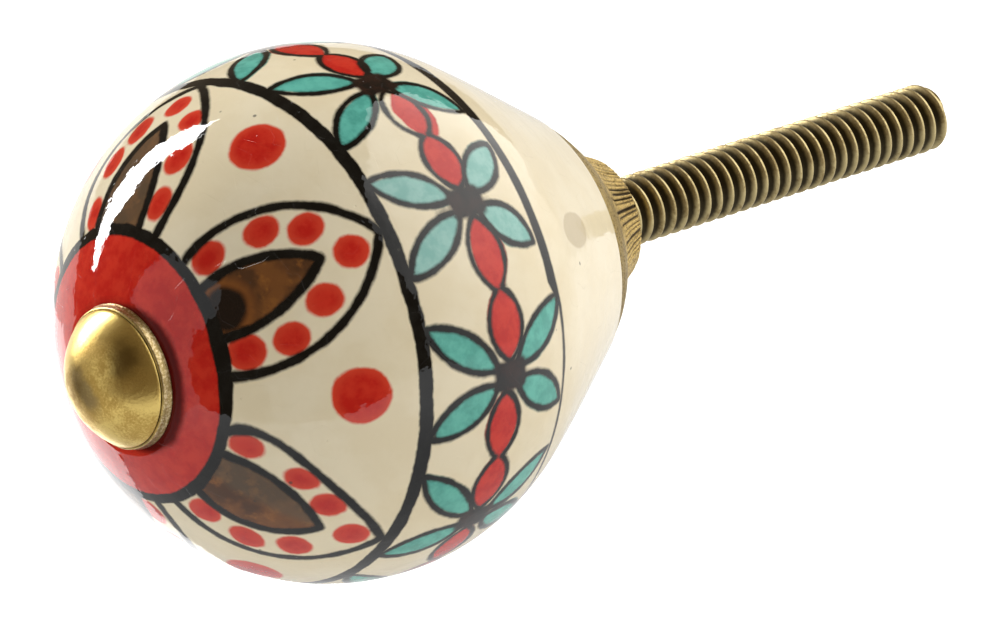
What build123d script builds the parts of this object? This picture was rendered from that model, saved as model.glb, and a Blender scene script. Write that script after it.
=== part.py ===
from build123d import *
import math
import os

# Cabinet knob: a turned, glazed ceramic body clamped between a dome-headed bolt and a cast collar.
# Millimetres. The axis is Y. The front faces -Y and the bolt leaves along +Y.
# The origin is on the axis, in the plane of the hub's end, which meets the drawer front.

# Ceramic body
BODY_DIA = 35.1              # widest circle
FRONT_RADIUS = 18.0          # arc from the front flat to the widest circle
FRONT_FLAT_DIA = 10.4        # flat under the bolt's head
SHOULDER_RADIUS = 15.5       # arc from the widest circle into the back cone
CONE_ANGLE = 32.6            # back cone against the axis, degrees
BACK_DIA = 17.6              # flat back face
BACK_EDGE_RADIUS = 0.3
BODY_BORE_DIA = 5.8

# Cast collar: a dished flange under the ceramic and a fluted hub behind it
HUB_LENGTH = 3.0
HUB_ROOT_DIA = 12.5
HUB_END_DIA = 9.0
HUB_EDGE_RADIUS = 0.35
FLOOR_DEPTH = 2.9            # dish floor in front of the hub's root
RIM_LAP = 0.6                # how far the rim laps over the ceramic's cone, along the axis
RIM_WALL = 0.2
RIM_CLEARANCE = 0.08
FLUTE_COUNT = 48
FLUTE_WIDTH = 0.40
FLUTE_DEPTH = 0.16
FLUTE_MARGIN = 0.25          # plain band left at the hub's root

# Dome-headed bolt
THREAD_DIA = 4.7             # over the crests
THREAD_LENGTH = 31.0         # beyond the mounting face
SHANK_DIA = 4.1              # plain shank inside the knob, at the thread's pitch diameter
RUN_OUT = 0.35               # cone between the shank and the thread
TIP_LENGTH = 0.9
TIP_DIA = 3.5
HEAD_DIA = 9.6
HEAD_RIM = 0.75              # thickness of the rim disc
HEAD_RIM_TAPER = 0.18        # the rim is smaller at its front, on the radius
HEAD_STEP = 0.1              # ledge between the rim and the cap, on the radius
CAP_HEIGHT = 2.6
COLLAR_CLEARANCE = 0.15      # thread to collar bore, on the radius

# Places along the axis, from the mounting face forward
SEAT_Y = -(HUB_LENGTH + FLOOR_DEPTH)
CONE_SLOPE = math.tan(math.radians(CONE_ANGLE))
SHOULDER_DROP = SHOULDER_RADIUS * (1 - math.cos(math.radians(CONE_ANGLE)))
SHOULDER_RUN = SHOULDER_RADIUS * math.sin(math.radians(CONE_ANGLE))
CONE_RUN = ((BODY_DIA - BACK_DIA) / 2 - SHOULDER_DROP) / CONE_SLOPE
WIDEST_Y = SEAT_Y - CONE_RUN - SHOULDER_RUN
FRONT_CENTRE = BODY_DIA / 2 - FRONT_RADIUS
FRONT_ANGLE = math.degrees(math.acos((FRONT_FLAT_DIA / 2 - FRONT_CENTRE) / FRONT_RADIUS))
FRONT_Y = WIDEST_Y - FRONT_RADIUS * math.sin(math.radians(FRONT_ANGLE))


def turned(outline):
    """Close an outline of edges into a face and turn it about the knob's axis."""
    return revolve(make_face(outline), Axis.Y)


def ceramic_body():
    """Ovoid with a flat front, a round shoulder and a conical back, with a plain bore."""
    bore = BODY_BORE_DIA / 2
    front = CenterArc((FRONT_CENTRE, WIDEST_Y), FRONT_RADIUS, -FRONT_ANGLE, FRONT_ANGLE)
    shoulder_centre = (BODY_DIA / 2 - SHOULDER_RADIUS, WIDEST_Y)
    shoulder = CenterArc(shoulder_centre, SHOULDER_RADIUS, 0, CONE_ANGLE)
    back = Polyline(shoulder @ 1, (BACK_DIA / 2, SEAT_Y), (bore, SEAT_Y), (bore, FRONT_Y), front @ 0)
    body = turned(front + shoulder + back)
    back_edge = body.edges().filter_by(GeomType.CIRCLE).filter_by_position(Axis.Y, SEAT_Y, SEAT_Y)
    return fillet(back_edge.sort_by(SortBy.RADIUS)[-1], BACK_EDGE_RADIUS)


def flute_cutter():
    """Prism of triangular section that lies along the hub's side and cuts one groove."""
    root = Vector(HUB_ROOT_DIA / 2, -HUB_LENGTH)
    end = Vector(HUB_END_DIA / 2, 0)
    along = (end - root).normalized()
    side = Plane(origin=root + along * FLUTE_MARGIN, x_dir=(0, 0, 1), z_dir=along)
    corners = [(-FLUTE_WIDTH, FLUTE_DEPTH), (0, -FLUTE_DEPTH), (FLUTE_WIDTH, FLUTE_DEPTH)]
    section = Polygon(*corners, align=None)
    return extrude(side * section, (end - root).length)


def back_collar():
    """Dished flange that cups the ceramic's back, with a tapered, fluted hub and a bore."""
    bore = THREAD_DIA / 2 + COLLAR_CLEARANCE
    across = RIM_CLEARANCE / math.cos(math.radians(CONE_ANGLE))
    floor_radius = BACK_DIA / 2 + across
    lip_y = SEAT_Y - RIM_LAP
    lip_radius = floor_radius + RIM_LAP * CONE_SLOPE
    rim_radius = lip_radius + RIM_WALL * math.cos(math.radians(CONE_ANGLE))
    rim_y = lip_y + RIM_WALL * math.sin(math.radians(CONE_ANGLE))
    section = Polyline(
        (bore, 0),
        (HUB_END_DIA / 2, 0),
        (HUB_ROOT_DIA / 2, -HUB_LENGTH),
        (rim_radius, rim_y),
        (lip_radius, lip_y),
        (floor_radius, SEAT_Y),
        (bore, SEAT_Y),
        (bore, 0),
    )
    collar = turned(section)
    hub_edge = collar.edges().filter_by(GeomType.CIRCLE).filter_by_position(Axis.Y, 0, 0)
    collar = fillet(hub_edge.sort_by(SortBy.RADIUS)[-1], HUB_EDGE_RADIUS)
    cutter = flute_cutter()
    flutes = [cutter.rotate(Axis.Y, 360 / FLUTE_COUNT * i) for i in range(FLUTE_COUNT)]
    return collar.cut(*flutes)


def dome_head_bolt():
    """Bolt turned in one with its head: a thin rim disc under a round cap."""
    head = HEAD_DIA / 2
    seam_y = FRONT_Y - HEAD_RIM
    cap = head - HEAD_RIM_TAPER - HEAD_STEP
    cap_radius = (cap**2 + CAP_HEIGHT**2) / (2 * CAP_HEIGHT)
    apex_y = seam_y - CAP_HEIGHT
    opening = math.degrees(math.asin(cap / cap_radius))
    dome = CenterArc((0, apex_y + cap_radius), cap_radius, -90, opening)
    thread = THREAD_DIA / 2
    outline = Polyline(
        dome @ 1,
        (head - HEAD_RIM_TAPER, seam_y),
        (head, FRONT_Y),
        (SHANK_DIA / 2, FRONT_Y),
        (SHANK_DIA / 2, -RUN_OUT),
        (thread, 0),
        (thread, THREAD_LENGTH - TIP_LENGTH),
        (TIP_DIA / 2, THREAD_LENGTH),
        (0, THREAD_LENGTH),
        dome @ 0,
    )
    return turned(dome + outline)


os.makedirs("parts", exist_ok=True)
export_step(ceramic_body(), "parts/ceramic_knob.step")
export_step(back_collar(), "parts/back_collar.step")
export_step(dome_head_bolt(), "parts/dome_head_bolt.step")
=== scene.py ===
import math
import random

import bmesh
import bpy
import numpy as np
from mathutils import Matrix, Vector, noise


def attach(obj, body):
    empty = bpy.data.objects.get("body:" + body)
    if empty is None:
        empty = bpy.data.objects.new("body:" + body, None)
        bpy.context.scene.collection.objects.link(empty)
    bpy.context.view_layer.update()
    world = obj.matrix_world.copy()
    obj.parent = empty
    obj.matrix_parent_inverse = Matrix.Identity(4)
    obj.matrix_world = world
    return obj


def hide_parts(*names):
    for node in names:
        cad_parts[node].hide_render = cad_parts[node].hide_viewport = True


# A hand-painted ceramic cabinet knob on a threaded brass bolt with a domed head.
# Blender works in metres. The knob's sizes below are in millimetres and are scaled by MM.
MM = 0.001

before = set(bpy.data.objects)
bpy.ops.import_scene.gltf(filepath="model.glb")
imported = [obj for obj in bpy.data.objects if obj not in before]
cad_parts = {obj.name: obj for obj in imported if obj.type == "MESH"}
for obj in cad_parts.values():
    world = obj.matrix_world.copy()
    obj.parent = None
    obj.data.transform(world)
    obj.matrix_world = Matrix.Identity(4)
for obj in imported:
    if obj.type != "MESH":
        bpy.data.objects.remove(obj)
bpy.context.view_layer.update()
scene = bpy.context.scene

# Camera at the photograph's angle
camera = bpy.data.objects.new("camera", bpy.data.cameras.new("camera"))
scene.collection.objects.link(camera)
camera.location = (0.418272, -0.394128, 0.208317)
camera.rotation_mode = "QUATERNION"
camera.rotation_quaternion = Vector((-0.68903, 0.63473, -0.34979)).to_track_quat("-Z", "Y")
camera.data.lens = 332.83
camera.data.sensor_width = 36
camera.data.clip_start = 0.01
camera.data.clip_end = 10
scene.camera = camera
scene.view_settings.view_transform = "Standard"

# Sizes of the turned ceramic body. Reach is measured along its surface, from the middle of the front.
BODY_RADIUS = 17.55
FRONT_RADIUS = 18.0
FRONT_FLAT = 5.2
SHOULDER_RADIUS = 15.5
CONE_ANGLE = math.radians(32.6)
BACK_RADIUS = 8.8
BACK_EDGE = 0.3
BORE_RADIUS = 2.9
BACK_SWELL = 0.235           # how much fuller the back is than a straight cone
WIDEST_Y = -24.1145
FRONT_Y = -41.2048
SEAT_Y = -5.9
FRONT_CENTRE = BODY_RADIUS - FRONT_RADIUS
FRONT_SWEEP = math.acos((FRONT_FLAT - FRONT_CENTRE) / FRONT_RADIUS)
FRONT_END = FRONT_FLAT + FRONT_RADIUS * FRONT_SWEEP
SHOULDER_END = FRONT_END + SHOULDER_RADIUS * CONE_ANGLE


# Small helpers for meshes
def start_line(bm, x, y):
    """First point of a turned outline, in millimetres from the axis and along it."""
    return bm.verts.new((x * MM, y * MM, 0))


def line_to(bm, last, x, y, cuts=0):
    """Carries the outline straight on, in one or more short runs."""
    run = (Vector((x * MM, y * MM, 0)) - last.co) / (cuts + 1)
    for _ in range(cuts + 1):
        last = bmesh.ops.extrude_vert_indiv(bm, verts=[last])["verts"][0]
        bmesh.ops.translate(bm, verts=[last], vec=run)
    return last


def arc_to(bm, last, x, y, degrees, steps):
    """Carries the outline on round the centre x, y."""
    made = bmesh.ops.spin(
        bm,
        geom=[last],
        cent=(x * MM, y * MM, 0),
        axis=(0, 0, 1),
        angle=math.radians(degrees),
        steps=steps,
    )
    return made["geom_last"][0]


def turn_round(bm, steps):
    """Turns the outline about the knob's axis into a closed body."""
    bmesh.ops.remove_doubles(bm, verts=bm.verts[:], dist=1e-7)
    bmesh.ops.spin(
        bm,
        geom=bm.verts[:] + bm.edges[:],
        cent=(0, 0, 0),
        axis=(0, 1, 0),
        angle=2 * math.pi,
        steps=steps,
        use_merge=True,
    )
    bmesh.ops.remove_doubles(bm, verts=bm.verts[:], dist=2e-7)
    bmesh.ops.recalc_face_normals(bm, faces=bm.faces[:])


def finish_piece(name, bm, material, node, sharp=40):
    """Puts a mesh into the scene as a piece that stands for one CAD node."""
    mesh = bpy.data.meshes.new(name)
    bm.to_mesh(mesh)
    bm.free()
    mesh.shade_smooth()
    mesh.set_sharp_from_angle(angle=math.radians(sharp))
    mesh.materials.append(material)
    piece = bpy.data.objects.new(name, mesh)
    scene.collection.objects.link(piece)
    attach(piece, "root")
    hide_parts(node)
    return piece


def sink(vert, depth):
    """Moves a point straight towards the axis, by a depth in millimetres."""
    radius = math.hypot(vert.co.x, vert.co.z)
    if radius > 1e-6:
        share = 1 - depth * MM / radius
        vert.co.x *= share
        vert.co.z *= share


# Small helpers for materials
def put(tree, kind, values=None, **settings):
    """Adds a node. A value is a number, a colour, or the output that feeds that input."""
    made = tree.nodes.new(kind)
    for key, value in settings.items():
        setattr(made, key, value)
    for key, value in (values or {}).items():
        if isinstance(value, bpy.types.NodeSocket):
            tree.links.new(value, made.inputs[key])
        else:
            made.inputs[key].default_value = value
    return made


def maths(tree, operation, first, second=0.0, third=0.0):
    """One sum on values, and its output."""
    made = put(tree, "ShaderNodeMath", {0: first, 1: second, 2: third}, operation=operation)
    return made.outputs[0]


def blend(tree, mask, under, over):
    """One colour laid over another where the mask is 1."""
    made = put(tree, "ShaderNodeMix", {0: mask, 6: under, 7: over}, data_type="RGBA")
    return made.outputs[2]


def spread(tree, value, low, high, to_low=0.0, to_high=1.0):
    """Stretches a value from one range to another, held at its ends."""
    values = {0: value, 1: low, 2: high, 3: to_low, 4: to_high}
    return put(tree, "ShaderNodeMapRange", values, interpolation_type="SMOOTHSTEP").outputs[0]


def grain(tree, where, scale, detail=3.0, rough=0.55):
    """Cloudy noise, between about 0.3 and 0.7."""
    values = {"Vector": where, "Scale": scale, "Detail": detail, "Roughness": rough}
    return put(tree, "ShaderNodeTexNoise", values).outputs[0]


def moved(tree, where, x, y, z):
    """Coordinates measured from a place that is given in millimetres."""
    values = {0: where, 1: (-x * MM, -y * MM, -z * MM)}
    return put(tree, "ShaderNodeVectorMath", values, operation="ADD").outputs[0]


def stretched(tree, where, x, y, z):
    """Coordinates scaled along each axis, or flattened where the factor is 0."""
    return put(tree, "ShaderNodeVectorMath", {0: where, 1: (x, y, z)}, operation="MULTIPLY").outputs[0]


def length_of(tree, where):
    """How far the coordinates are from their origin."""
    return put(tree, "ShaderNodeVectorMath", {0: where}, operation="LENGTH").outputs["Value"]


def new_material(name):
    """An empty material, its node tree, its surface shader and its object coordinates."""
    material = bpy.data.materials.new(name)
    material.use_nodes = True
    tree = material.node_tree
    tree.nodes.clear()
    shader = put(tree, "ShaderNodeBsdfPrincipled")
    out = put(tree, "ShaderNodeOutputMaterial")
    tree.links.new(shader.outputs[0], out.inputs[0])
    where = put(tree, "ShaderNodeTexCoord").outputs["Object"]
    return material, tree, shader, where


def new_group(name, inputs, outputs):
    """An empty shader node group with named values going in and out."""
    tree = bpy.data.node_groups.new(name, "ShaderNodeTree")
    for title, kind, value in inputs:
        socket = tree.interface.new_socket(title, in_out="INPUT", socket_type=kind)
        if value is not None:
            socket.default_value = value
    for title, kind in outputs:
        tree.interface.new_socket(title, in_out="OUTPUT", socket_type=kind)
    return tree, put(tree, "NodeGroupInput").outputs, put(tree, "NodeGroupOutput").inputs


def brushed_edge_group():
    """A painted mark's cover: 1 inside its edge and 0 outside, with the edge a little uneven."""
    number = "NodeSocketFloat"
    ins = [("Distance", number, 0.0), ("Wobble", number, 0.0)]
    ins += [("Grow", number, 0.0), ("Soft", number, 0.06)]
    tree, given, result = new_group("brushed_edge", ins, [("Cover", number)])
    shifted = maths(tree, "ADD", given["Distance"], given["Wobble"])
    shifted = maths(tree, "SUBTRACT", shifted, given["Grow"])
    share = maths(tree, "DIVIDE", shifted, given["Soft"])
    tree.links.new(spread(tree, share, -1.0, 1.0, 1.0, 0.0), result["Cover"])
    return tree


def tarnish_group():
    """Patches of tarnish and fine pits on brass, as a mask and a height."""
    number = "NodeSocketFloat"
    ins = [("Where", "NodeSocketVector", None), ("Patches", number, 300.0), ("Pits", number, 2500.0)]
    ins += [("Amount", number, 0.5)]
    tree, given, result = new_group("tarnish", ins, [("Mask", number), ("Height", number)])
    cloud = grain(tree, given["Where"], given["Patches"], 6.0, 0.62)
    fine = grain(tree, given["Where"], given["Pits"], 4.0, 0.6)
    mixed = maths(tree, "MULTIPLY_ADD", fine, 0.45, cloud)
    line = maths(tree, "SUBTRACT", 0.95, maths(tree, "MULTIPLY", given["Amount"], 0.4))
    above = maths(tree, "SUBTRACT", mixed, line)
    tree.links.new(spread(tree, above, -0.12, 0.12), result["Mask"])
    tree.links.new(fine, result["Height"])
    return tree


edge_group = brushed_edge_group()
tarnish = tarnish_group()


# Painted pattern, in degrees round the axis and millimetres of reach
ARCHES = [
    # left side, tip, right side, where each point is an angle and a reach
    (
        [(-69, 9), (-66, 11.6), (-60, 15.4), (-50, 18.4)],
        (-38.5, 20.9),
        [(-11.2, 9), (-10.7, 11), (-11.6, 12), (-14, 13.2), (-20.1, 15), (-26.1, 17), (-31.7, 19.2)],
    ),
    (
        [(12.8, 9), (13.4, 11), (14.8, 13), (18.3, 15), (23.5, 17), (29.5, 19), (34, 20)],
        (40, 21.1),
        [(65, 9.6), (65.2, 11), (64.5, 12.3), (60.5, 14.8), (55.9, 17), (51, 18.6), (46, 19.9)],
    ),
    (
        [(84, 10), (85, 13.2), (90, 16.4), (97.5, 19.2)],
        (107, 21.4),
        [(132.5, 10.4), (132.5, 12.8), (129, 16), (120, 18.8)],
    ),
    (
        [(153, 9.4), (154, 12.4), (161, 16), (170, 19)],
        (179, 21.2),
        [(207, 9.4), (206, 12.2), (200, 15.7), (190, 18.7)],
    ),
    (
        [(224, 9.2), (226, 12.2), (232, 15.8), (241, 18.8)],
        (250.5, 21.1),
        [(278, 9.2), (277, 12), (271.5, 15.5), (262, 18.4)],
    ),
]
LEAVES = [
    # root angle and reach, tip angle and reach, half width, where across it the painted grey-brown
    # reflection starts
    (-37, 6.0, -38.7, 16.65, 2.5, 0.1),
    (39.9, 6.05, 39.9, 16.95, 2.05, 9.0),
    (107.5, 5.4, 107.5, 17.5, 2.3, -9.0),
    (180, 5.6, 180.4, 17.0, 2.35, 9.0),
    (251, 5.6, 250.6, 16.9, 2.4, 0.3),
]
LEAF_BLOB = (39, 10.15, 1.45, 1.4)   # angle, reach, half width and half height of the dark blob in a leaf
SMALL_DOTS = [
    # angle, reach, half width round the body, half height along the reach
    (-58.3, 10.3, 1.12, 1.12), (-56.3, 13.5, 1.05, 1.28), (-49.5, 16.2, 1.05, 1.25),
    (-38.5, 18.8, 1.1, 1.2), (-29.8, 16.3, 1.0, 1.25), (-22.9, 14.1, 0.85, 1.25), (-16.2, 10.2, 0.88, 1.25),
    (21.3, 10.5, 1.2, 1.35), (22, 13.5, 1.08, 1.27), (29.5, 16.2, 1.05, 1.28), (38.3, 18.9, 1.1, 1.22),
    (48.3, 17, 1.05, 1.25), (54.3, 14.6, 1.0, 1.25), (59, 10.9, 1.05, 1.28),
    (89.9, 11.75, 0.88, 1.25), (93, 15, 1.0, 1.25), (98.3, 17.9, 0.97, 0.97), (107.8, 19.2, 1.0, 1.05),
    (117, 17.4, 1.02, 1.25), (122.5, 15.1, 1.0, 1.25), (124.5, 11.3, 0.85, 1.25),
    (162, 10.6, 1.1, 1.2), (163.5, 13.8, 1.0, 1.25), (170, 16.9, 1.05, 1.2), (179.5, 19, 1.1, 1.15),
    (189.5, 16.8, 1.0, 1.25), (196, 14.2, 1.05, 1.25), (198.5, 10.6, 0.95, 1.25),
    (233, 10.5, 1.1, 1.2), (234.5, 13.7, 1.0, 1.25), (241.5, 16.6, 1.05, 1.25), (250.8, 19, 1.05, 1.15),
    (260.5, 16.6, 1.0, 1.25), (267.5, 14, 1.0, 1.2), (269.5, 10.5, 1.0, 1.25),
]
LARGE_DOTS = [
    # angle, reach, half width
    (3.5, 17.3, 1.9), (75, 18.2, 1.85), (143, 17.8, 1.85), (215, 17.6, 1.9), (-74, 17.4, 1.85),
]
FLOWERS = [
    # angle, the tips of the four green petals by angle and reach (front left, front right, rear left,
    # rear right), then the angle and half width of each red petal's tip
    (-34.5, [(-46, 21.8), (-18.8, 21.9), (-42.5, 32.8), (-22, 33)], [(-52.8, 1.3), (-16.3, 1.3)]),
    (1.8, [(-9.3, 21.8), (16.3, 21.8), (-9.5, 33.2), (15, 33.4)], [(-17.5, 1.3), (20.8, 1.38)]),
    (39.5, [(27.5, 21.8), (51.3, 21.9), (27.5, 32.2), (51.3, 32.3)], [(19.6, 1.3), (56.9, 1.3)]),
    (73.8, [(61, 21.9), (87, 22.1), (61, 32.4), (85, 31.6)], [(55.9, 1.3), (90.5, 1.3)]),
    (109, [(96, 22.0), (121, 22.0), (98, 32.3), (120, 32.5)], [(89.3, 1.3), (127.5, 1.3)]),
    (145.5, [(133, 22.0), (158, 22.0), (134, 32.5), (157, 32.2)], [(127, 1.3), (163.6, 1.35)]),
    (181, [(169, 21.8), (194, 21.9), (169.5, 32.6), (193, 32.8)], [(162.9, 1.35), (199.5, 1.3)]),
    (217.5, [(205, 22.0), (230, 21.8), (206, 32.9), (229, 32.6)], [(199, 1.3), (235.6, 1.35)]),
    (253, [(241, 21.8), (266, 22.0), (242, 32.7), (265, 33)], [(235, 1.3), (271.3, 1.3)]),
    (289, [(277, 21.9), (302, 21.8), (278, 33), (301, 32.9)], [(270.6, 1.3), (307.4, 1.3)]),
]
PALE_FLOWERS = (39.5, 181)           # angles of the flowers that are painted with thin green
SLIPPED_PETAL = (73.8, -0.35, 0.5)   # angle of the flower whose red has slipped, how far round and along
REAR_BLOT = (27.3, 39, 1.2, 2.1)     # angle, reach, half width and half height of the darker spot on the cone
CAP_REACH = 9.15                     # where the red cap round the head ends
CAP_LEAN = 0.62                      # and how far it leans towards CAP_LEAN_ANGLE
CAP_LEAN_ANGLE = 150
CAP_LINE = 0.42                      # half width of the black line round the cap
CAP_LINE_BULGE = 0.14                # and how much wider it is by CAP_BULGE_ANGLE
CAP_BULGE_ANGLE = 22
HEAD_SHADE_REACH = 4.6                    # painted shade round the head: hidden by it, but for a dark crescent on one side
HEAD_SHADE_CRESCENT = 1.15
HEAD_SHADE_ANGLE = 8
MIDDLE_LINE = 21.5                   # the black line between the arches and the flowers
MIDDLE_LINE_DRIFT = 0.3
MIDDLE_LINE_DRIFT_ANGLE = 110
MIDDLE_LINE_HALF = 0.49
FLOWER_LINE = 27.6                   # the middle of the band of flowers
RED_LINES = (27.45, 27.7)            # where the red petals lie, before and after the angle 0
LOW_RED_TIP = (20.8, 0.15)           # one red tip lies this much further back
PETAL_ROOT = 0.9                     # the petals start this far from the flower's middle
PETAL_HALF_WIDTH = 1.72
PETAL_NARROWING = 0.09               # longer petals are narrower
HEART_SIZE = (0.6, 0.93, 0.45)       # a flower's heart: half width, half height, and the round edge added
NO_MARK = 9.0                        # distance that stands for no paint at all
REAR_RING = [
    # angle, reach of the middle, half width, how faint
    (-60, 33.1, 0.36, 0.0), (-48, 33.2, 0.36, 0.0), (-40, 33.4, 0.5, 0.62), (0, 33.55, 0.5, 0.66),
    (12, 33.5, 0.52, 0.62), (18, 33.05, 0.52, 0.0), (30, 33.0, 0.48, 0.0), (57, 33.0, 0.46, 0.0),
    (61, 32.97, 0.56, 0.0), (79, 32.97, 0.60, 0.0), (84, 32.95, 0.5, 0.1), (95, 32.9, 0.42, 0.0),
    (150, 33.0, 0.36, 0.2), (200, 33.2, 0.4, 0.0), (260, 33.0, 0.36, 0.0), (300, 33.1, 0.36, 0.0),
]


MARK_NAMES = ("red", "teal", "pale", "heart", "ink", "arch", "leaf", "leaf_veil", "stem", "bloom", "spot")
MARK_NAMES += ("blob", "cap", "head_shade", "rear", "blot")


def turned_radius(reach):
    """Radius of the body at a reach along its surface."""
    front = FRONT_CENTRE + FRONT_RADIUS * np.cos(FRONT_SWEEP - (reach - FRONT_FLAT) / FRONT_RADIUS)
    shoulder = BODY_RADIUS - SHOULDER_RADIUS * (1 - np.cos((reach - FRONT_END) / SHOULDER_RADIUS))
    shoulder_edge = BODY_RADIUS - SHOULDER_RADIUS * (1 - math.cos(CONE_ANGLE))
    cone = shoulder_edge - (reach - SHOULDER_END) * math.sin(CONE_ANGLE)
    body = np.where(reach < FRONT_END, front, np.where(reach < SHOULDER_END, shoulder, cone))
    return np.where(reach < FRONT_FLAT, reach, body)


def surface_reach(radius, along):
    """Reach along the surface of a point that is given by its radius and its place on the axis."""
    swing = np.arctan2(WIDEST_Y - along, radius - FRONT_CENTRE)
    front = FRONT_FLAT + FRONT_RADIUS * (FRONT_SWEEP - swing)
    lean = np.arctan2(along - WIDEST_Y, radius - BODY_RADIUS + SHOULDER_RADIUS)
    shoulder = FRONT_END + SHOULDER_RADIUS * lean
    cone_start = WIDEST_Y + SHOULDER_RADIUS * math.sin(CONE_ANGLE)
    cone = SHOULDER_END + (along - cone_start) / math.cos(CONE_ANGLE)
    reach = np.where(along < WIDEST_Y, front, np.where(along < cone_start, shoulder, cone))
    return np.where((along < FRONT_Y + 0.001) & (radius < FRONT_FLAT), radius, reach)


def apart(angle, centre):
    """Angle from a centre, in radians, the short way round."""
    return np.radians((angle - centre + 180) % 360 - 180)


def almond(u, v, start, end, half_width):
    """Signed distance to an almond between two points: below 0 inside."""
    start = np.array(start)
    end = np.array(end)
    middle = (start + end) / 2
    half = np.linalg.norm(end - start) / 2
    direction = (end - start) / (2 * half)
    along = np.abs((u - middle[0]) * direction[0] + (v - middle[1]) * direction[1])
    across = np.abs((v - middle[1]) * direction[0] - (u - middle[0]) * direction[1])
    radius = (half**2 + half_width**2) / (2 * half_width)
    offset = radius - half_width
    at_tip = (along - half) * offset > across * half
    return np.where(at_tip, np.hypot(across, along - half), np.hypot(across + offset, along) - radius)


def arch_distance(angle, reach, left, tip, right):
    """Signed distance to a pointed arch, whose sides are smooth curves near a few points of each."""
    centre = tip[0]
    lowest = 8.5
    steepest = 2.2
    u = apart(angle, centre) * turned_radius(reach)
    sides = []
    for points in (left, right):
        heights = np.array([p[1] for p in points] + [tip[1]])
        widths = [abs(apart(np.array(p[0]), centre)) * turned_radius(np.array(p[1])) for p in points]
        weights = [1.0] * len(points) + [4.0]
        power = 4 if len(points) > 5 else 3
        curve = np.polyfit(heights, np.array(widths + [0.0], float), power, w=weights)
        held = np.clip(reach, lowest, tip[1] + 0.6)
        sides.append((np.polyval(curve, held), np.polyval(np.polyder(curve), held)))
    on_left = u < 0
    width = np.where(on_left, sides[0][0], sides[1][0])
    slope = np.where(on_left, sides[0][1], sides[1][1])
    distance = (np.abs(u) - width) / np.sqrt(1 + np.clip(slope, -steepest, steepest) ** 2)
    return distance + np.clip(reach - tip[1] - 0.5, 0, None)


def oval(u, v, across, tall):
    """Signed distance to an oval, good enough near its edge."""
    return (np.hypot(u / across, v / tall) - 1) * min(across, tall)


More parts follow.
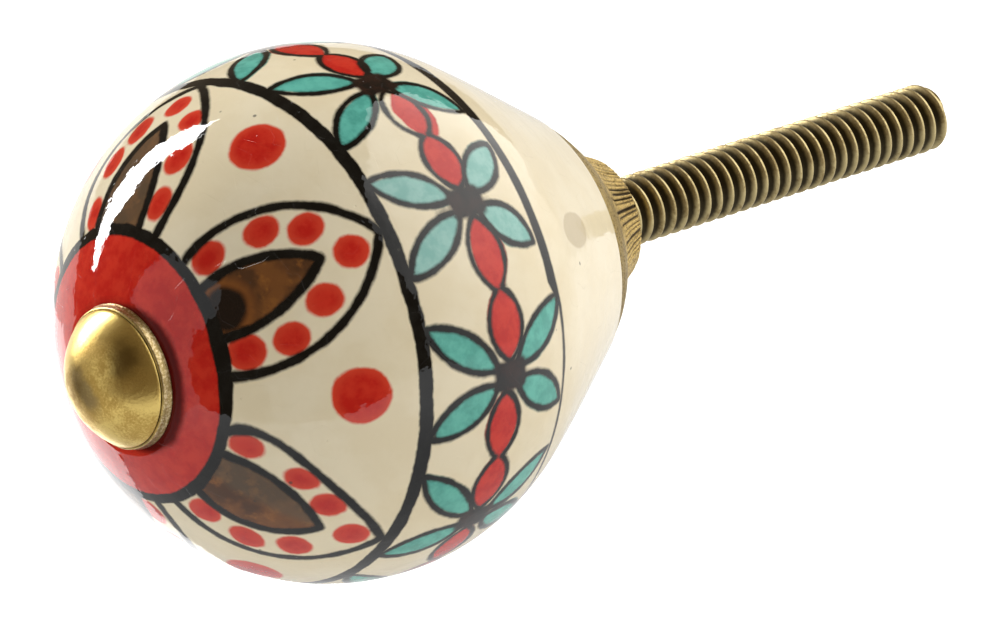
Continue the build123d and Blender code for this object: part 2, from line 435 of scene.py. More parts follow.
def painted_marks(radius, angle, along):
    """Signed distances, in millimetres, from each point of the body to the painted marks."""
    reach = surface_reach(radius, along)
    around = turned_radius(reach)
    far = np.full_like(reach, NO_MARK)
    marks = {name: far.copy() for name in MARK_NAMES}
    slips = random.Random(5)

    def add(name, distance):
        marks[name] = np.minimum(marks[name], distance)

    marks["cap"] = reach - CAP_REACH - CAP_LEAN * np.cos(np.radians(angle - CAP_LEAN_ANGLE))
    # Painted shade: a dark crescent on the red beside the head, on the side where the head blocks the
    # reflected light
    crescent = np.clip(np.cos(np.radians(angle - HEAD_SHADE_ANGLE)) * 1.3, 0, 1)
    marks["head_shade"] = reach - HEAD_SHADE_REACH - HEAD_SHADE_CRESCENT * crescent
    for left, tip, right in ARCHES:
        add("arch", arch_distance(angle, reach, left, tip, right))
    for root, start, tip_angle, tip, half_width, veil_from in LEAVES:
        lean = (tip_angle - root) * (reach - start) / (tip - start)
        u = apart(angle, root + lean) * around
        shape = almond(u, reach, (0, start), (0, tip), half_width)
        add("leaf", shape)
        # painted reflection: a grey-brown veil over the leaf beyond veil_from
        add("leaf_veil", np.maximum(shape, veil_from - u))
    marks["arch"] = np.where(marks["cap"] < -0.25, far, marks["arch"])
    marks["leaf"] = np.maximum(marks["leaf"], -marks["cap"])
    centre, at, across, tall = LEAF_BLOB
    add("blob", oval(apart(angle, centre) * around, reach - at, across, tall))
    for centre, at, across, tall in SMALL_DOTS:
        add("spot", oval(apart(angle, centre) * around, reach - at, across, tall))
    for centre, at, size in LARGE_DOTS:
        add("spot", oval(apart(angle, centre) * around, reach - at, size, size * 1.02))
    for centre, tips, red_tips in FLOWERS:
        u = apart(angle, centre) * around
        v = reach - FLOWER_LINE
        for tip_angle, tip_reach in tips:
            tip_u = apart(np.array(tip_angle), centre) * turned_radius(np.array(tip_reach))
            tip_v = tip_reach - FLOWER_LINE
            length = math.hypot(tip_u, tip_v)
            root = (tip_u / length * PETAL_ROOT, tip_v / length * PETAL_ROOT)
            half_width = PETAL_HALF_WIDTH - PETAL_NARROWING * length
            add("stem", almond(u, v, root, (tip_u, tip_v), half_width))
            du = slips.uniform(-0.16, 0.16)
            dv = slips.uniform(-0.16, 0.16)
            add("teal", almond(u - du, v - dv, root, (tip_u, tip_v), half_width))
            if centre in PALE_FLOWERS:
                add("pale", almond(u - du, v - dv, root, (tip_u, tip_v), half_width))
        for tip_angle, half_width in red_tips:
            tip_u = float(apart(np.array(tip_angle), centre) * turned_radius(np.array(FLOWER_LINE)))
            root = (math.copysign(-PETAL_ROOT, tip_u), 0)
            v = reach - RED_LINES[0 if tip_angle < 0 else 1]
            if tip_angle == LOW_RED_TIP[0]:
                v = v - LOW_RED_TIP[1]
            add("bloom", almond(u, v, root, (tip_u, 0), half_width))
            du = slips.uniform(-0.14, 0.14)
            dv = slips.uniform(-0.12, 0.12)
            if centre == SLIPPED_PETAL[0] and tip_u < 0:
                du, dv = SLIPPED_PETAL[1:]
            add("red", almond(u - du, v - dv, root, (tip_u, 0), half_width))
        # The heart lies level with the last red petal
        past_u = np.abs(u) - HEART_SIZE[0]
        past_v = np.abs(v) - HEART_SIZE[1]
        corner = np.hypot(np.clip(past_u, 0, None), np.clip(past_v, 0, None))
        inside = np.clip(np.maximum(past_u, past_v), None, 0)
        add("heart", corner + inside - HEART_SIZE[2])
    bulge = np.exp(-((apart(angle, CAP_BULGE_ANGLE) / 0.3) ** 2))
    add("ink", np.abs(marks["cap"]) - (CAP_LINE + CAP_LINE_BULGE * bulge))
    drifted = np.clip((np.cos(np.radians(angle - MIDDLE_LINE_DRIFT_ANGLE)) - 0.2) / 0.5, 0, 1)
    add("ink", np.abs(reach - (MIDDLE_LINE + MIDDLE_LINE_DRIFT * drifted)) - MIDDLE_LINE_HALF)
    turns, middles, halves, faint = zip(*REAR_RING)
    off = np.abs(reach - np.interp(angle, turns, middles, period=360))
    marks["rear"] = off / np.interp(angle, turns, halves, period=360)
    marks["rear"] += np.interp(angle, turns, faint, period=360)
    centre, at, across, tall = REAR_BLOT
    u = apart(angle, centre) * around
    marks["blot"] = (np.hypot(u / across, (reach - at) / tall) - 1) * 1.5
    return marks


def glazed_paint():
    """Underglaze painting on a cream body, below a clear glossy glaze with specks and pin-holes."""
    material, tree, shader, where = new_material("painted_glaze")
    marks = {}
    for name in MARK_NAMES:
        marks[name] = put(tree, "ShaderNodeAttribute", attribute_name=name).outputs["Fac"]

    # The hand's wobble along an edge, and the looser one of the green and red washes
    slow = maths(tree, "SUBTRACT", grain(tree, where, 700.0, 2.0), 0.5)
    fast = maths(tree, "SUBTRACT", grain(tree, where, 3600.0, 2.0), 0.5)
    wobble = maths(tree, "MULTIPLY_ADD", slow, 0.28, maths(tree, "MULTIPLY", fast, 0.07))
    drift = maths(tree, "MULTIPLY", maths(tree, "SUBTRACT", grain(tree, where, 330.0, 1.0), 0.5), 0.5)
    loose = maths(tree, "ADD", wobble, drift)

    def cover(distance, grow=0.0, soft=0.07, shift=wobble):
        made = put(tree, "ShaderNodeGroup", node_tree=edge_group)
        tree.links.new(distance, made.inputs["Distance"])
        tree.links.new(shift, made.inputs["Wobble"])
        made.inputs["Grow"].default_value = grow
        made.inputs["Soft"].default_value = soft
        return made.outputs["Cover"]

    cloud = grain(tree, where, 260.0, 4.0)
    wash = grain(tree, where, 900.0, 4.0, 0.6)
    body = blend(tree, spread(tree, cloud, 0.35, 0.65), (0.80, 0.70, 0.50, 1), (0.765, 0.655, 0.445, 1))
    body = blend(tree, cover(marks["blot"], 0.0, 0.12), body, (0.60, 0.50, 0.33, 1))

    teal = blend(tree, spread(tree, wash, 0.35, 0.65), (0.075, 0.34, 0.275, 1), (0.12, 0.46, 0.37, 1))
    thin = blend(tree, spread(tree, wash, 0.35, 0.65), (0.20, 0.44, 0.385, 1), (0.28, 0.52, 0.46, 1))
    teal = blend(tree, cover(marks["pale"], 0.1, 0.15), teal, thin)
    paint = blend(tree, cover(marks["teal"], 0.06, 0.13, loose), body, teal)
    red = blend(tree, spread(tree, wash, 0.36, 0.66), (0.50, 0.011, 0.006, 1), (0.59, 0.028, 0.013, 1))
    paint = blend(tree, cover(marks["red"], 0.04, 0.12, loose), paint, red)
    rim = blend(tree, spread(tree, marks["spot"], -0.75, 0.05), red, (0.64, 0.050, 0.022, 1))
    paint = blend(tree, cover(marks["spot"], 0.0, 0.13), paint, rim)
    paint = blend(tree, cover(marks["cap"], 0.0, 0.15), paint, red)
    # Painted shade beside the head: the red is darker there and its glaze shines less
    head_shade = maths(tree, "MULTIPLY", cover(marks["head_shade"], 0.0, 0.34), 0.95)
    tree.links.new(spread(tree, head_shade, 0.0, 1.0, 0.5, 0.1), shader.inputs["Specular IOR Level"])
    paint = blend(tree, head_shade, paint, (0.075, 0.004, 0.003, 1))

    # Leaves
    mottle = spread(tree, grain(tree, where, 420.0, 3.0), 0.4, 0.62)
    umber = blend(tree, mottle, (0.075, 0.030, 0.011, 1), (0.17, 0.062, 0.016, 1))
    umber = blend(tree, spread(tree, wash, 0.5, 0.72), umber, (0.26, 0.095, 0.02, 1))
    # Painted reflection: a grey-brown veil over part of some leaves
    leaf_veil = maths(tree, "MULTIPLY", cover(marks["leaf_veil"], 0.1, 0.5), 0.65)
    umber = blend(tree, leaf_veil, umber, (0.105, 0.075, 0.045, 1))
    warm_ring = maths(tree, "MULTIPLY", cover(marks["blob"], 0.5, 0.5), 0.6)
    umber = blend(tree, warm_ring, umber, (0.27, 0.085, 0.016, 1))
    umber = blend(tree, cover(marks["blob"], 0.0, 0.3), umber, (0.010, 0.005, 0.003, 1))
    paint = blend(tree, cover(marks["leaf"], 0.0, 0.1), paint, umber)

    # Black lines, and thin outlines along the edges of the arches, the leaves and the petals
    worn_ink = spread(tree, wash, 0.4, 0.7)
    ink_tone = blend(tree, worn_ink, (0.0015, 0.0015, 0.0012, 1), (0.006, 0.006, 0.005, 1))
    ink = maths(tree, "MAXIMUM", cover(marks["ink"], 0.0, 0.09), cover(marks["rear"], 1.0, 0.25))
    for name, half in (("arch", 0.34), ("leaf", 0.34), ("stem", 0.25), ("bloom", 0.21)):
        ink = maths(tree, "MAXIMUM", ink, cover(maths(tree, "ABSOLUTE", marks[name]), half, 0.14))
    paint = blend(tree, ink, paint, ink_tone)
    heart = blend(tree, spread(tree, wash, 0.4, 0.65), (0.006, 0.004, 0.003, 1), (0.022, 0.008, 0.005, 1))
    paint = blend(tree, cover(marks["heart"], 0.0, 0.22), paint, heart)

    # Dark specks in the glaze
    dots = put(tree, "ShaderNodeTexVoronoi", {"Vector": where, "Scale": 420.0, "Randomness": 1.0})
    pick = put(tree, "ShaderNodeSeparateColor", {0: dots.outputs["Color"]}).outputs[0]
    speck = spread(tree, dots.outputs["Distance"], 0.03, 0.07, 1, 0)
    speck = maths(tree, "MULTIPLY", speck, spread(tree, pick, 0.6, 0.62))
    paint = blend(tree, maths(tree, "MULTIPLY", speck, 0.75), paint, (0.04, 0.035, 0.025, 1))
    tree.links.new(paint, shader.inputs["Base Color"])
    shader.inputs["Roughness"].default_value = 0.035
    shader.inputs["IOR"].default_value = 1.5

    # The glaze's gentle waves and its pin-holes
    skin = grain(tree, where, 620.0, 2.5)
    bump = put(tree, "ShaderNodeBump", {"Height": skin, "Strength": 0.3, "Distance": 0.00012})
    holes = put(tree, "ShaderNodeTexVoronoi", {"Vector": where, "Scale": 620.0, "Randomness": 1.0})
    chosen = put(tree, "ShaderNodeSeparateColor", {0: holes.outputs["Color"]}).outputs[1]
    hole = spread(tree, holes.outputs["Distance"], 0.015, 0.065, 0, 1)
    hole = maths(tree, "MULTIPLY", hole, spread(tree, chosen, 0.6, 0.62))
    dented = {"Height": hole, "Strength": 0.5, "Distance": 0.00006, "Normal": bump.outputs[0]}
    pits = put(tree, "ShaderNodeBump", dented)
    tree.links.new(pits.outputs[0], shader.inputs["Normal"])
    return material


def painted_body():
    """The ceramic body, turned finely enough to carry the painted marks, and slightly uneven."""
    bm = bmesh.new()
    last = start_line(bm, BORE_RADIUS, FRONT_Y)
    last = line_to(bm, last, FRONT_FLAT, FRONT_Y, 5)
    last = arc_to(bm, last, FRONT_CENTRE, WIDEST_Y, math.degrees(FRONT_SWEEP), 92)
    last = arc_to(bm, last, BODY_RADIUS - SHOULDER_RADIUS, WIDEST_Y, math.degrees(CONE_ANGLE), 56)
    near_seat = 1.3
    edge_x = BACK_EDGE * math.sin(CONE_ANGLE)
    edge_y = BACK_EDGE * math.cos(CONE_ANGLE)
    last = line_to(bm, last, BACK_RADIUS + near_seat * math.tan(CONE_ANGLE), SEAT_Y - near_seat, 17)
    last = line_to(bm, last, BACK_RADIUS + edge_x, SEAT_Y - edge_y, 9)
    last = line_to(bm, last, BACK_RADIUS - 0.04, SEAT_Y - 0.07)
    last = line_to(bm, last, BACK_RADIUS - BACK_EDGE, SEAT_Y)
    last = line_to(bm, last, BORE_RADIUS, SEAT_Y, 2)
    line_to(bm, last, BORE_RADIUS, FRONT_Y)
    turn_round(bm, 480)
    places = np.array([v.co for v in bm.verts]) / MM
    radius = np.hypot(places[:, 0], places[:, 2])
    angle = np.degrees(np.arctan2(places[:, 2], places[:, 0]))
    marks = painted_marks(radius, angle, places[:, 1])
    plain = (radius < FRONT_FLAT - 1) | (places[:, 1] > SEAT_Y - 0.15)
    for vert in bm.verts:
        if vert.co.y < (SEAT_Y - 0.5) * MM and vert.co.xz.length > (FRONT_FLAT + 0.1) * MM:
            broad = noise.noise(vert.co * 110) + 0.4 * noise.noise(vert.co * 330)
            # The back swells out behind the flowers and comes in again just before the collar
            rise = min(1.0, max(0.0, (vert.co.y / MM + 19.5) / 7.5))
            drop = min(1.0, max(0.0, (vert.co.y / MM + 6.93) / 0.24))
            fuller = BACK_SWELL * rise**2 * (3 - 2 * rise) * (1 - drop**2 * (3 - 2 * drop))
            sink(vert, 0.03 + 0.02 * broad - fuller)
    piece = finish_piece("painted_body", bm, glazed_paint(), "ceramic_knob")
    for name, distances in marks.items():
        attribute = piece.data.attributes.new(name, "FLOAT", "POINT")
        values = np.where(plain & (name != "cap"), NO_MARK, distances)
        attribute.data.foreach_set("value", values.astype(np.float32))
    return piece


def brass(name, bright, dull, patches, pits, amount, rough, relief):
    """Brass with tarnish in patches and fine pits, and how rough it is where it is bright."""
    material, tree, shader, where = new_material(name)
    worn = put(tree, "ShaderNodeGroup", {"Where": where}, node_tree=tarnish)
    worn.inputs["Patches"].default_value = patches
    worn.inputs["Pits"].default_value = pits
    worn.inputs["Amount"].default_value = amount
    mask = worn.outputs["Mask"]
    colour = blend(tree, mask, bright, dull)
    tree.links.new(spread(tree, mask, 0.0, 1.0, rough, rough + 0.18), shader.inputs["Roughness"])
    pitted = {"Height": worn.outputs["Height"], "Strength": relief, "Distance": 0.00005}
    bump = put(tree, "ShaderNodeBump", pitted)
    tree.links.new(bump.outputs[0], shader.inputs["Normal"])
    shader.inputs["Metallic"].default_value = 1.0
    return material, tree, shader, where, colour


# The bolt's head
APEX_Y = -44.555
CAP_RADIUS = 5.2289
CAP_OPENING = 59.3
SEAM_Y = -41.91
SMUDGE = (-0.05, -44.4, -0.05)       # grey smudge near the middle of the cap
DARK_BROWN_PATCH = (2.5, -43.2, 2.4)    # darker brown patch towards the upper right
HEAD_OUTLINE = [
    # radius, place on the axis, cuts in the run up to it
    (4.50, -41.945, 0),
    (4.47, -41.915, 0),
    (4.49, -41.885, 0),
    (4.56, -41.885, 0),
    (4.62, -41.86, 0),
    (4.66, -41.80, 0),
    (4.71, -41.50, 3),
    (4.77, -41.32, 0),
    (4.80, -41.26, 0),
    (4.79, -41.22, 0),
    (4.74, FRONT_Y, 0),
    (0, FRONT_Y, 2),
]


def dome_brass():
    """Rubbed brass of the head: gold, with a grey smudge, brown tarnish and dirt in the seam."""
    material, tree, shader, where, colour = brass(
        "rubbed_brass", (0.84, 0.62, 0.195, 1), (0.58, 0.38, 0.10, 1), 300.0, 6500.0, 0.42, 0.28, 0.35
    )
    smudge = moved(tree, where, *SMUDGE)
    turned = {"Vector": smudge, "Rotation": (0, math.radians(-45), 0)}
    smudge = put(tree, "ShaderNodeMapping", turned).outputs[0]
    smudge = length_of(tree, stretched(tree, smudge, 0.55, 0.4, 1.15))
    smudge = maths(tree, "MULTIPLY_ADD", grain(tree, where, 900.0), 0.0009, smudge)
    smudge = spread(tree, smudge, 0.0009, 0.0017, 0.5, 0.0)
    colour = blend(tree, smudge, colour, (0.22, 0.19, 0.13, 1))
    patch = length_of(tree, moved(tree, where, *DARK_BROWN_PATCH))
    patch = maths(tree, "MULTIPLY_ADD", grain(tree, where, 600.0, 4.0), 0.0022, patch)
    patch = spread(tree, patch, 0.0013, 0.0030, 0.8, 0.0)
    colour = blend(tree, patch, colour, (0.17, 0.105, 0.030, 1))

    # Broken dirt along the seam, and the rim's pale specks
    along = put(tree, "ShaderNodeSeparateXYZ", {0: where}).outputs[1]
    from_seam = maths(tree, "ABSOLUTE", maths(tree, "ADD", along, -SEAM_Y * MM))
    patchy = maths(tree, "MULTIPLY", grain(tree, where, 700.0), 0.00012)
    dirt = spread(tree, maths(tree, "ADD", from_seam, patchy), 0.00006, 0.00014, 0.85, 0.0)
    colour = blend(tree, dirt, colour, (0.10, 0.065, 0.025, 1))
    specks = spread(tree, grain(tree, where, 5200.0, 4.0, 0.7), 0.44, 0.60)
    pale = blend(tree, specks, (0.34, 0.25, 0.12, 1), (0.76, 0.64, 0.42, 1))
    on_rim = spread(tree, along, -0.04187, -0.04182)
    colour = blend(tree, maths(tree, "MULTIPLY", on_rim, 0.75), colour, pale)
    tree.links.new(colour, shader.inputs["Base Color"])
    return material


def domed_head():
    """The bolt's head: a round cap over a thin rim, with a faint uneven seam between them."""
    bm = bmesh.new()
    last = start_line(bm, 0, APEX_Y)
    last = arc_to(bm, last, 0, APEX_Y + CAP_RADIUS, CAP_OPENING, 44)
    for radius, along, cuts in HEAD_OUTLINE:
        last = line_to(bm, last, radius, along, cuts)
    turn_round(bm, 200)
    for vert in bm.verts:
        along = vert.co.y / MM
        if vert.co.xz.length / MM > 3:
            sink(vert, 0.025 + 0.03 * noise.noise(vert.co * 420))
        # The seam is cut in unevenly
        if SEAM_Y - 0.02 < along < SEAM_Y + 0.03 and 4.3 < vert.co.xz.length / MM < 4.55:
            sink(vert, 0.02 + 0.07 * max(0.0, noise.noise(vert.co * 330)))
    return finish_piece("domed_head", bm, dome_brass(), "dome_head_bolt", 50)


# The bolt's thread and its shank
PITCH = 1.0583
CREST = 2.35
ROOT = 1.70
FIRST_CREST = 3.77                   # place of one crest on the side that the photo shows
THREAD_TURN = math.radians(-26.92)   # how the thread is turned about the axis
THREAD_TURNS = 34
STEPS_A_TURN = 48
THREAD_START = -0.35
THREAD_END = 31.0
ROUNDED_END = 0.9                    # the end is rounded off with this radius
END_FLAT = 1.45                      # radius of the flat that is left at the end
SHANK_START = -41.1
SHANK_RADIUS = 2.05
BOLT_RISE = 0.35                     # the real bolt sits this much above the body's axis at the hub's end
BOLT_TILT = 0.0023                   # and rises this much more for each millimetre along it
RISE_HALFWAY = 0.38                  # rise of the thread's middle, which its dirt is centred on


def thread_brass():
    """Brass of the thread: pale worn crests above dark, dirty roots."""
    material, tree, shader, where, colour = brass(
        "threaded_brass", (0.58, 0.475, 0.24, 1), (0.38, 0.29, 0.135, 1), 600.0, 4000.0, 0.4, 0.43, 0.4
    )
    on_axis = moved(tree, where, 0, 0, RISE_HALFWAY)
    out = length_of(tree, stretched(tree, on_axis, 1, 0, 1))
    uneven = maths(tree, "MULTIPLY_ADD", grain(tree, where, 1500.0), 0.00016, out)
    deep = spread(tree, uneven, 0.00207, 0.00242, 1.0, 0.0)
    along = put(tree, "ShaderNodeSeparateXYZ", {0: where}).outputs[1]
    deep = maths(tree, "MULTIPLY", deep, spread(tree, along, 0.0299, 0.0304, 1.0, 0.0))
    colour = blend(tree, deep, colour, (0.062, 0.050, 0.028, 1))
    tree.links.new(colour, shader.inputs["Base Color"])
    return material


def threaded_shank():
    """The bolt's thread, one turned helix with a rounded end, and the plain shank inside the knob."""
    bm = bmesh.new()
    start = FIRST_CREST - 6 * PITCH
    shape = [(-0.5, ROOT), (-0.42, 1.72), (-0.27, 2.02), (-0.13, 2.28), (-0.065, CREST)]
    shape += [(-s, r) for s, r in reversed(shape)]
    last = None
    for share, radius in shape:
        here = (radius, start + share * PITCH)
        last = line_to(bm, last, *here) if last else start_line(bm, *here)
    turn = Matrix.Rotation(THREAD_TURN, 3, "Y")
    bmesh.ops.rotate(bm, verts=bm.verts[:], cent=(0, 0, 0), matrix=turn)
    bmesh.ops.spin(
        bm,
        geom=bm.verts[:] + bm.edges[:],
        cent=(0, 0, 0),
        axis=(0, 1, 0),
        angle=2 * math.pi * THREAD_TURNS,
        steps=STEPS_A_TURN * THREAD_TURNS,
        dvec=(0, PITCH * MM / STEPS_A_TURN, 0),
    )
    bmesh.ops.remove_doubles(bm, verts=bm.verts[:], dist=2e-6)
    for vert in bm.verts:
        past = (vert.co.y / MM - THREAD_END + ROUNDED_END) / ROUNDED_END
        radius = vert.co.xz.length / MM
        sink(vert, (radius - ROOT) * 0.025 * (1 + noise.noise(vert.co * 900)))
        if past > 0:
            limit = END_FLAT + ROUNDED_END * math.sqrt(max(0.0, 1 - min(past, 1.0) ** 2))
            sink(vert, max(0.0, vert.co.xz.length / MM - limit))
    for end, way in ((THREAD_END, 1), (THREAD_START, -1)):
        geometry = bm.verts[:] + bm.edges[:] + bm.faces[:]
        cut = bmesh.ops.bisect_plane(
            bm, geom=geometry, plane_co=(0, end * MM, 0), plane_no=(0, way, 0), clear_outer=True
        )
        loop = [g for g in cut["geom_cut"] if isinstance(g, bmesh.types.BMEdge)]
        bmesh.ops.holes_fill(bm, edges=loop, sides=0)
    middle = (SHANK_START + THREAD_START) / 2
    matrix = Matrix.Translation((0, middle * MM, 0)) @ Matrix.Rotation(math.pi / 2, 4, "X")
    bmesh.ops.create_cone(
        bm,
        cap_ends=True,
        segments=64,
        radius1=SHANK_RADIUS * MM,
        radius2=SHANK_RADIUS * MM,
        depth=(THREAD_START - SHANK_START) * MM,
        matrix=matrix,
    )
    bmesh.ops.recalc_face_normals(bm, faces=bm.faces[:])
    for vert in bm.verts:
        vert.co.z += BOLT_RISE * MM + BOLT_TILT * vert.co.y
    return finish_piece("threaded_shank", bm, thread_brass(), "dome_head_bolt", 60)


# The cast collar
COLLAR_BORE = 2.5
COLLAR_OUTLINE = [
    # radius, place on the axis, cuts in the run up to it
    (4.12, 0, 3),
    (4.28, -0.06, 0),
    (4.42, -0.22, 0),
    (5.05, -1.5, 8),
    (6.02, -3.0, 10),
    (7.55, -4.4, 9),
    (8.00, -4.88, 3),
    (8.12, -4.94, 0),
    (8.55, -5.45, 5),
    (9.02, -6.12, 7),
    (9.16, -6.36, 1),
    (9.19, -6.46, 0),
    (9.18, -6.50, 0),
    (9.16, -6.50, 0),
    (8.90, SEAT_Y, 3),
    (COLLAR_BORE, SEAT_Y, 3),
    (COLLAR_BORE, 0, 2),
]
HUB_ROOT_Y = -4.9                    # where the hub ends and the flange starts
HUB_RISE = 0.38                      # how far the hub's end sits above the body's axis
FILED_SIDE = 112                     # up to this angle the file marks are strong and close
MARKS_FROM = -4.86
MARKS_TO = -0.02


def collar_brass():
    """Sand-cast brass: brown and speckled, darker in the file marks of the hub."""
    material, tree, shader, where, colour = brass(
        "sand_cast_brass", (0.64, 0.46, 0.16, 1), (0.17, 0.112, 0.04, 1), 6500.0, 14000.0, 0.42, 0.42, 1.0
    )
    depth = put(tree, "ShaderNodeAttribute", attribute_name="groove").outputs["Fac"]
    colour = blend(tree, spread(tree, depth, 0.05, 0.8), colour, (0.065, 0.044, 0.019, 1))
    along = put(tree, "ShaderNodeSeparateXYZ", {0: where}).outputs[1]
    on_band = spread(tree, along, -0.00505, -0.00475, 0.5, 0.0)
    colour = blend(tree, on_band, colour, (0.085, 0.060, 0.024, 1))
    tree.links.new(colour, shader.inputs["Base Color"])
    return material


def cast_collar():
    """The collar: a dished flange with a rough cast skin and a hub with uneven file marks."""
    bm = bmesh.new()
    last = start_line(bm, COLLAR_BORE, 0)
    for radius, along, cuts in COLLAR_OUTLINE:
        last = line_to(bm, last, radius, along, cuts)
    turn_round(bm, 480)
    # File marks by angle, with their depth, half width and share of the hub's length
    chance = random.Random(11)
    marks = []
    at = -8.0
    while at < 350:
        strong = 1.0 if at < FILED_SIDE else 0.45
        deep = strong * chance.uniform(0.08, 0.24)
        marks.append((at, deep, chance.uniform(0.05, 0.10), chance.uniform(0.5, 1.1)))
        at += chance.uniform(3, 6) if at < FILED_SIDE else chance.uniform(6, 16)
    grooves = {}
    for vert in bm.verts:
        y = vert.co.y / MM
        radius = vert.co.xz.length / MM
        depth = 0.0
        if MARKS_FROM < y < MARKS_TO and radius > 4.25:
            angle = math.degrees(math.atan2(vert.co.z, vert.co.x))
            down = y / HUB_ROOT_Y
            for centre, deep, wide, long in marks:
                off = math.radians((angle - centre + 180) % 360 - 180) * radius
                if abs(off) < 3 * wide:
                    fade = min(1.0, max(0.0, (long + 0.15 - down) * 6))
                    depth = max(depth, deep * math.exp(-((off / wide) ** 2)) * fade)
        if radius > 4.2 and y > SEAT_Y - 0.7:
            rough = 0.5 + 0.5 * noise.noise(vert.co * 1900)
            broad = 0.5 + 0.5 * noise.noise(vert.co * 420)
            sink(vert, depth + 0.035 * rough + 0.04 * broad)
        grooves[vert.index] = depth
    for vert in bm.verts:
        share = min(1.0, max(0.0, 1 - vert.co.y / (HUB_ROOT_Y * MM)))
        vert.co.z += HUB_RISE * MM * share
    values = [grooves[v.index] / 0.2 for v in bm.verts]
    piece = finish_piece("cast_collar", bm, collar_brass(), "back_collar", 50)
    piece.data.attributes.new("groove", "FLOAT", "POINT").data.foreach_set("value", values)
    return piece


# The studio, in metres. Directions are seen from the knob, in degrees.
TABLE_Z = -0.07
SCREEN_FACING = 37
LIGHTS = ("diffuse", "glossy", "transmission")
RAY_KINDS = ("camera", "diffuse", "glossy", "transmission", "shadow", "volume_scatter")


def heading(azimuth, elevation):
    """Direction from the knob. Azimuth turns from the bolt's way towards +X, elevation from level."""
    a = math.radians(azimuth)
    e = math.radians(elevation)
    return Vector((math.sin(a) * math.cos(e), math.cos(a) * math.cos(e), math.sin(e)))


def stage_piece(name, bm, material, rays):
    """Puts a mesh into the studio, seen by only some kinds of ray."""
    piece = bpy.data.objects.new(name, bpy.data.meshes.new(name))
    bm.to_mesh(piece.data)
    bm.free()
    piece.data.materials.append(material)
    scene.collection.objects.link(piece)
    for kind in RAY_KINDS:
        setattr(piece, "visible_" + kind, kind in rays)


def studio_sheet(name, corners, facing, distance, material, rays):
    """A flat sheet through its corners' directions: the table, or upright at a distance."""
    bm = bmesh.new()
    for azimuth, elevation in corners:
        ray = heading(azimuth, elevation)
        reach = TABLE_Z / ray.z if facing is None else distance / ray.dot(heading(facing, 0))
        bm.verts.new(ray * reach)
    bmesh.ops.contextual_create(bm, geom=bm.verts[:])
    stage_piece(name, bm, material, rays)


def glow(name, strength, colour=(1, 1, 1, 1)):
    """A sheet's own light."""
    material, tree, shader, where = new_material(name)
    shader.inputs["Base Color"].default_value = (0, 0, 0, 1)
    shader.inputs["Roughness"].default_value = 1.0
    shader.inputs["Emission Color"].default_value = colour
    shader.inputs["Emission Strength"].default_value = strength
    return material, tree, shader, where


def background_seen(tree):
    """1 for the rays that show the background: the camera's, mirrored ones and those through glass."""
    path = put(tree, "ShaderNodeLightPath").outputs
    seen = maths(tree, "MAXIMUM", path["Is Camera Ray"], path["Is Glossy Ray"])
    return maths(tree, "MAXIMUM", seen, path["Is Transmission Ray"])


def floor():
    """The pale floor, lifted to white for the camera, with the knob's shadow on it."""
    material, tree, shader, _ = new_material("floor_white")
    shader.inputs["Base Color"].default_value = (0.78, 0.78, 0.77, 1)
    shader.inputs["Roughness"].default_value = 0.9
    shader.inputs["Emission Color"].default_value = (1, 1, 1, 1)
    lift = maths(tree, "MULTIPLY", background_seen(tree), 0.43)
    tree.links.new(lift, shader.inputs["Emission Strength"])
    corners = [(45, -3), (135, -3), (-135, -3), (-45, -3)]
    studio_sheet("floor", corners, None, 0, material, ("camera", "diffuse", "transmission", "shadow"))


def reflected_sheets():
    """Bright shapes that only the glaze and the brass mirror."""
    near_table = [(85, -5), (100, -9), (120, -17), (140, -22), (160, -22), (175, -19.5), (-176, -19.5)]
    near_table += [(-165, -25), (-141, -31), (-130, -35), (-118, -46), (-107, -53), (-92, -52)]
    near_table += [(-78, -48), (-64, -42), (-54, -33), (-49, -22), (-40, -12), (-20, -6.2), (-8, -5.5)]
    material, tree, shader, where = glow("table_light", 1.0)
    # The table's light is dimmer close under the knob: a painted shadow of the knob, which only reflections
    # show
    away = length_of(tree, stretched(tree, where, 1, 1, 0))
    tree.links.new(spread(tree, away, 0.07, 0.2, 0.68, 1.15), shader.inputs["Emission Strength"])
    studio_sheet("table_glow", near_table, None, 0, material, ("glossy",))
    left_card = [(-104, -13), (-99.5, -5), (-93, 2), (-49, 2), (-49, -22), (-75, -26), (-88, -28)]
    left_card += [(-92, -26), (-96, -22), (-99, -18)]
    card_light = glow("card_light", 1.15, (1.0, 0.98, 0.94, 1))[0]
    studio_sheet("left_card", left_card, -72, 0.5, card_light, ("glossy",))
    low_card = [(-48, -16), (-92, -17), (-99, -26), (-107, -36), (-112, -54), (-90, -60)]
    low_card += [(-60, -56), (-46, -40)]
    studio_sheet("low_card", low_card, -72, 0.3, glow("low_light", 2.3)[0], ("glossy",))
    back_card = [(-6, -7), (-6, 9), (-50, 7), (-50, -20), (-30, -14)]
    studio_sheet("back_card", back_card, -27, 0.5, glow("back_light", 0.78)[0], ("glossy",))


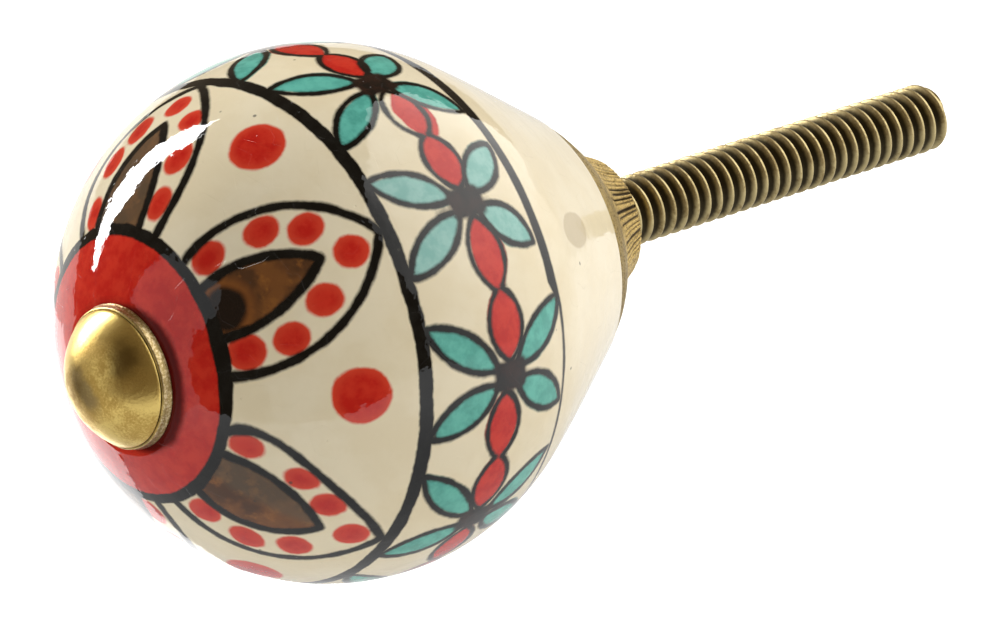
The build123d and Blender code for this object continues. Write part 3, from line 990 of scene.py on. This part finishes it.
def lamps():
    """The front panel, the thin side strip and the broad side screen, which light the knob."""
    front = [(-149, 27), (178.5, 26), (178, 20), (178.5, 13), (-179.5, 8), (-175.5, 6), (-175.5, 0)]
    front += [(-175, -8), (-175.5, -14), (-177, -18), (-178, -24), (-142, -31), (-142, 6)]
    front += [(-141.5, 12), (-144, 17)]
    studio_sheet("front_panel", front, -160, 0.5, glow("front_light", 0.75)[0], LIGHTS)
    strip = [(-89, 45), (-91, 39), (-93, 33), (-93.5, 28), (-94.5, 23), (-96, 19), (-98, 15.5)]
    strip += [(-100, 11), (-102, 8.5), (-105.5, 6.5), (-109, 4), (-112.5, 1.5), (-115, 2.5)]
    strip += [(-114.5, 7), (-112, 10), (-110.8, 13), (-110, 17), (-109, 21.5), (-106.5, 25)]
    strip += [(-105, 28.5), (-103, 32), (-100.5, 37), (-99.5, 41), (-98, 48)]
    studio_sheet("side_strip", strip, -103, 0.6, glow("strip_light", 22)[0], LIGHTS)

    material, tree, shader, where = glow("panel_light", 1.0, (1.0, 0.985, 0.955, 1))
    parts = put(tree, "ShaderNodeSeparateXYZ", {0: where}).outputs
    facing = math.radians(SCREEN_FACING)
    side = maths(tree, "MULTIPLY", parts[1], -math.sin(facing))
    side = maths(tree, "MULTIPLY_ADD", parts[0], math.cos(facing), side)
    across = spread(tree, side, 0.05, 0.8, 0.9, 0.36)
    rise = spread(tree, parts[2], -0.16, 0.42, 0.41, 1.0)
    level = maths(tree, "MULTIPLY", maths(tree, "MULTIPLY", across, rise), 2.6)
    tree.links.new(level, shader.inputs["Emission Strength"])
    screen = [(87, -5.5), (89.5, 0), (91, 20), (97, 40), (99, 60.5), (-26, 59.5), (-26, 38)]
    screen += [(-17.5, 25), (-18.5, 16), (-16, -5.5)]
    studio_sheet("side_screen", screen, SCREEN_FACING, 0.5, material, LIGHTS)


def room():
    """Dim walls that only reflections show, and an even light from all round."""
    bm = bmesh.new()
    lifted = Matrix.Translation((0, 0, 0.9))
    bmesh.ops.create_cone(
        bm, cap_ends=True, segments=64, radius1=1.4, radius2=1.4, depth=3.6, matrix=lifted
    )
    stage_piece("dark_walls", bm, glow("wall_dark", 1.0, (0.16, 0.12, 0.08, 1))[0], ("glossy",))

    world = bpy.data.worlds.new("studio_air")
    scene.world = world
    world.use_nodes = True
    tree = world.node_tree
    tree.nodes.clear()
    colour = blend(tree, background_seen(tree), (0.42, 0.42, 0.42, 1), (1, 1, 1, 1))
    back = put(tree, "ShaderNodeBackground", {"Color": colour, "Strength": 1.0})
    out = put(tree, "ShaderNodeOutputWorld")
    tree.links.new(back.outputs[0], out.inputs[0])


painted_body()
domed_head()
threaded_shank()
cast_collar()
floor()
reflected_sheets()
lamps()
room()
